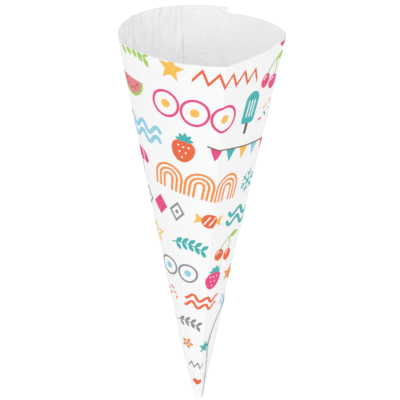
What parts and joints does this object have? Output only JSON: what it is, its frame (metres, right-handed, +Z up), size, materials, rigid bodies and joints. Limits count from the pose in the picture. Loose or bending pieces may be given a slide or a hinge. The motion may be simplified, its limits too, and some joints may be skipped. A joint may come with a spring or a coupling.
{
  "type": "cone paper cup",
  "caption": "Cone rolled from one sheet of printed paper, with a glued lap, a sharp crease down the front and a blunt closed tip.",
  "frame": {"origin": "middle of the ground under the cup, as it lies on its heavy lap side", "axes": "+X along the lap from the tip towards the mouth, +Z up, with the creased front on top"},
  "size_m": [0.1554, 0.063, 0.0621],
  "materials": {
    "paper": "matt white paper, printed outside in bright inks"
  },
  "bodies": {
    "root": {"cup": "paper"}
  },
  "joints": []
}
